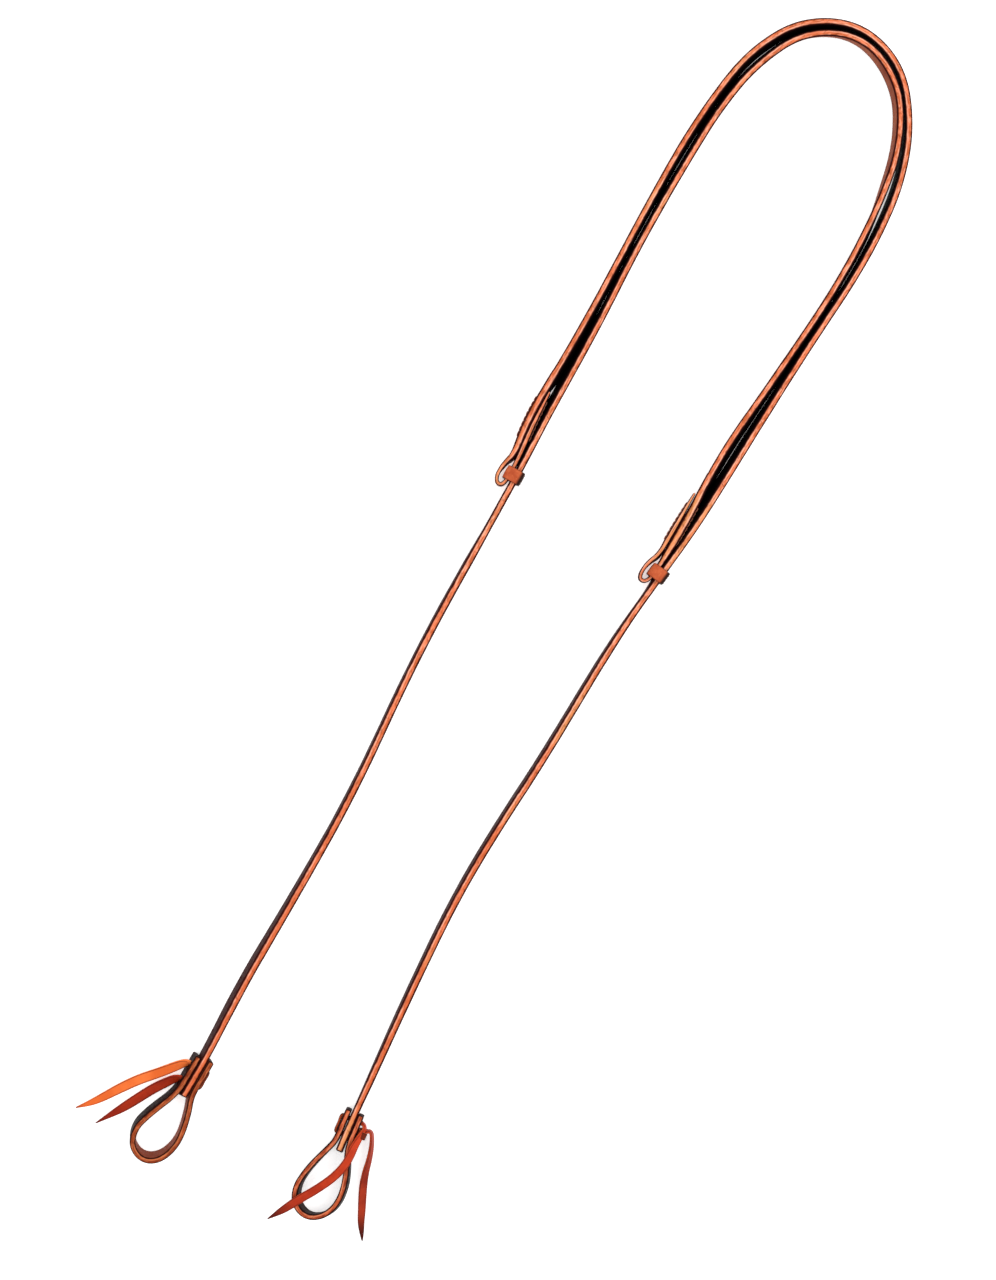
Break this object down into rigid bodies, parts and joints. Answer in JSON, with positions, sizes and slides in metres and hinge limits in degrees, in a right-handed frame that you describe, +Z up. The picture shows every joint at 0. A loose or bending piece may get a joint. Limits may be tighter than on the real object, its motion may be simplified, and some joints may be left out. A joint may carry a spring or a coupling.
{
  "type": "leather reins",
  "caption": "Adjustable one-piece leather reins lying on edge in a long U, with sliding leather keepers and laced teardrop bit loops.",
  "frame": {"origin": "middle of the footprint, on the surface that the strap edges rest on", "axes": "+Z up, +Y along the U from the bit loops to the hand end, +X to the rider's right leg of the U as seen from above"},
  "size_m": [0.2866, 1.2218, 0.0215],
  "materials": {
    "harness_leather": "satin",
    "keeper_leather": "satin",
    "latigo_lace": "satin",
    "waxed_thread": "matte"
  },
  "bodies": {
    "inner_rein": {"inner_rein_strap": "harness_leather", "inner_fold_stitching": "waxed_thread", "left_bit_loop": "harness_leather", "left_tie_lace": "latigo_lace"},
    "outer_rein": {"outer_rein_strap": "harness_leather", "outer_fold_stitching": "waxed_thread", "right_bit_loop": "harness_leather", "right_tie_lace": "latigo_lace"},
    "left_keeper_ring": {"left_keeper": "keeper_leather", "left_keeper_stitching": "waxed_thread"},
    "right_keeper_ring": {"right_keeper": "keeper_leather", "right_keeper_stitching": "waxed_thread"},
    "left_upper_tail": {"left_lace_tail_upper": "latigo_lace"},
    "left_lower_tail": {"left_lace_tail_lower": "latigo_lace"},
    "right_crossing_tail": {"right_lace_tail_crossing": "latigo_lace"},
    "right_outer_tail": {"right_lace_tail_outer": "latigo_lace"}
  },
  "joints": [
    {"name": "rein_length_slide", "type": "slide", "parent": "inner_rein", "child": "outer_rein", "axis": [0.0436, 0.999, 0], "range_m": [0, 0.0065]},
    {"name": "left_keeper_slide", "type": "slide", "parent": "outer_rein", "child": "left_keeper_ring", "axis": [-0.0175, 0.9998, 0], "range_m": [-0.0012, 0.0012]},
    {"name": "right_keeper_slide", "type": "slide", "parent": "inner_rein", "child": "right_keeper_ring", "axis": [0.1149, 0.9934, 0], "range_m": [-0.0012, 0.0012]},
    {"name": "left_upper_tail_swing", "type": "hinge", "parent": "inner_rein", "child": "left_upper_tail", "pos_m": [-0.08033, -0.52013, 0.008], "axis": [0, 0, 1], "range_deg": [-28, 0]},
    {"name": "left_lower_tail_swing", "type": "hinge", "parent": "inner_rein", "child": "left_lower_tail", "pos_m": [-0.08123, -0.53563, 0.008], "axis": [0, 0, 1], "range_deg": [-4, 8]},
    {"name": "right_crossing_tail_swing", "type": "hinge", "parent": "outer_rein", "child": "right_crossing_tail", "pos_m": [0.09175, -0.49065, 0.017], "axis": [0, 0, 1], "range_deg": [-12, 10]},
    {"name": "right_outer_tail_swing", "type": "hinge", "parent": "outer_rein", "child": "right_outer_tail", "pos_m": [0.09995, -0.48706, 0.009], "axis": [0, 0, 1], "range_deg": [-8, 30]}
  ]
}
